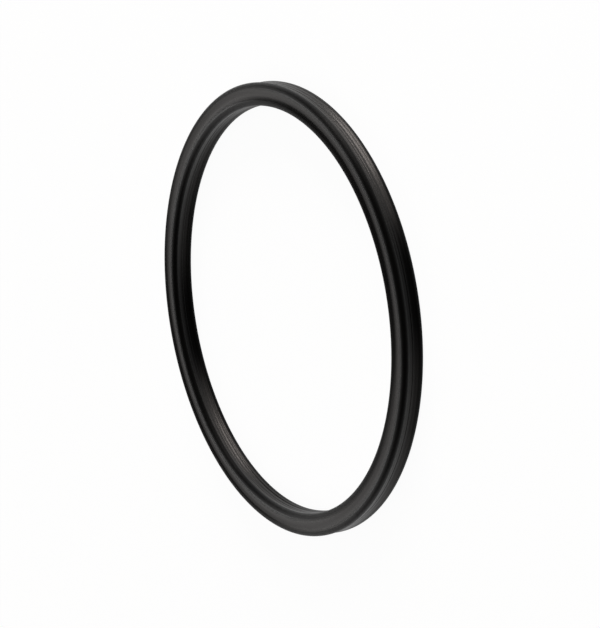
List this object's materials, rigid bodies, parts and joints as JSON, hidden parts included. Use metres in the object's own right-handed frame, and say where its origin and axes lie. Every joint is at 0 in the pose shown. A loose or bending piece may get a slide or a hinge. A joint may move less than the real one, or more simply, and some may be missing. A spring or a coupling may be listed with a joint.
{
  "type": "x-ring seal",
  "caption": "Moulded rubber seal ring with an X-shaped section: round sealing lobes with shallow hollows between them, for a rod or piston groove.",
  "frame": {"origin": "on the ring's axis, level with the surface that the ring lies on", "axes": "+Z along the ring's axis, up from the surface that it lies on; X and Y across the ring, which is alike all the way round"},
  "size_m": [0.1052, 0.1052, 0.0053],
  "materials": {
    "black_rubber": "satin, moulded, with fine lines round the ring left by the turned mould"
  },
  "bodies": {
    "root": {"x_ring": "black_rubber"}
  },
  "joints": []
}
